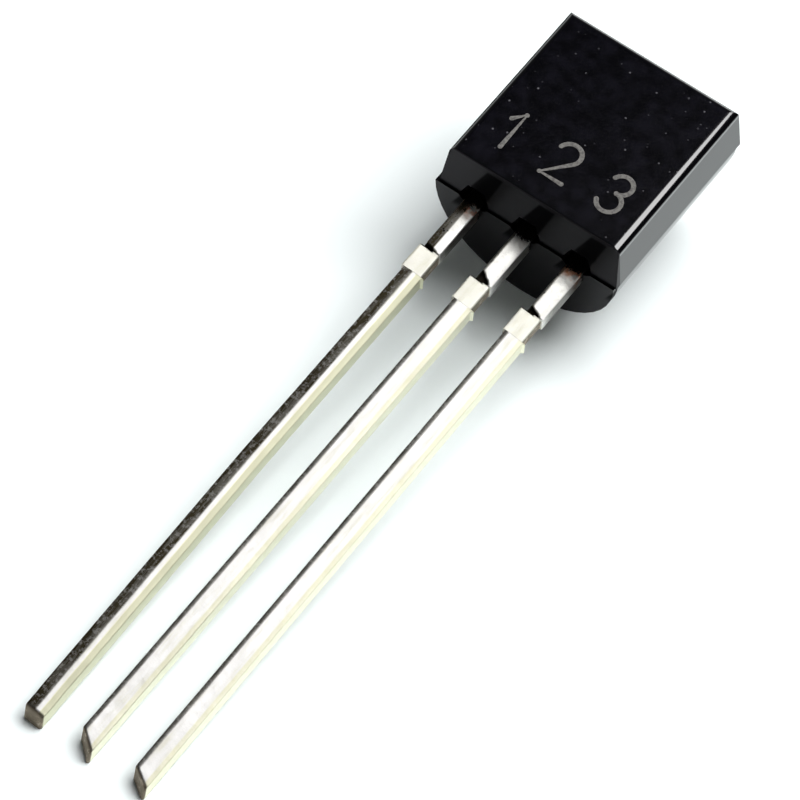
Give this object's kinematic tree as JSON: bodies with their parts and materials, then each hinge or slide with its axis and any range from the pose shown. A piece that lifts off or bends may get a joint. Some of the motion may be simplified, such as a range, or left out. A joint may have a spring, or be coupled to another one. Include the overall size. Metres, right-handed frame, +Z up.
{
  "type": "to-92 transistor",
  "caption": "Small-signal through-hole transistor: black moulded body with a flat face and a rounded back, on long straight tinned legs cut at a slant.",
  "frame": {"origin": "middle of the bounding box in plan, on the surface the part lies on", "axes": "+Y from the tips of the legs to the top of the body, +X across the legs from emitter to base, +Z up out of the flat face; the part lies on its rounded back and the tips of its legs, so the flat leans back by about 7 degrees"},
  "size_m": [0.0044, 0.0191, 0.0038],
  "materials": {
    "compound": "black moulding compound, satin on the flat and smooth on the ends",
    "tin": "bright tin plating on copper",
    "silicon": "polished silicon",
    "solder": "thin solder layer",
    "gold": "drawn gold wire"
  },
  "bodies": {
    "root": {"moulded_body": "compound", "emitter_lead": "tin", "collector_lead": "tin", "base_lead": "tin", "silicon_die": "silicon", "die_attach": "solder", "emitter_bond_wire": "gold", "base_bond_wire": "gold"}
  },
  "joints": []
}
